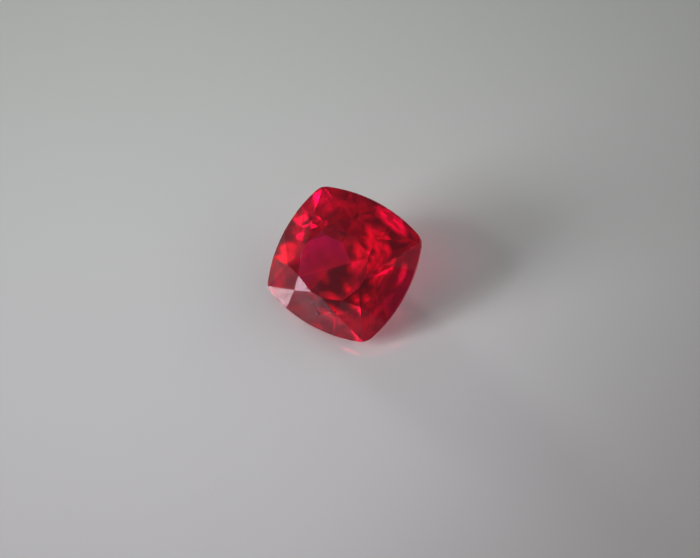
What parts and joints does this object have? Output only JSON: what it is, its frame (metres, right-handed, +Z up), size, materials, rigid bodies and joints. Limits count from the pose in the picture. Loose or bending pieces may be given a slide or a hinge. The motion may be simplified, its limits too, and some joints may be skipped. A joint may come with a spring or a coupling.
{
  "type": "faceted cushion-cut ruby gemstone",
  "caption": "Loose square cushion-cut red ruby, one solid polished stone, lying on a lower facet with its table leaning forward.",
  "frame": {"origin": "on the surface the stone lies on, under the middle of its outer box", "axes": "+Z up, away from that surface; the table leans towards -Y, and X runs along the girdle side nearest the surface"},
  "size_m": [0.007, 0.0056, 0.0047],
  "materials": {
    "ruby": "polished transparent red corundum, refractive index about 1.77"
  },
  "bodies": {
    "root": {"ruby_stone": "ruby"}
  },
  "joints": []
}
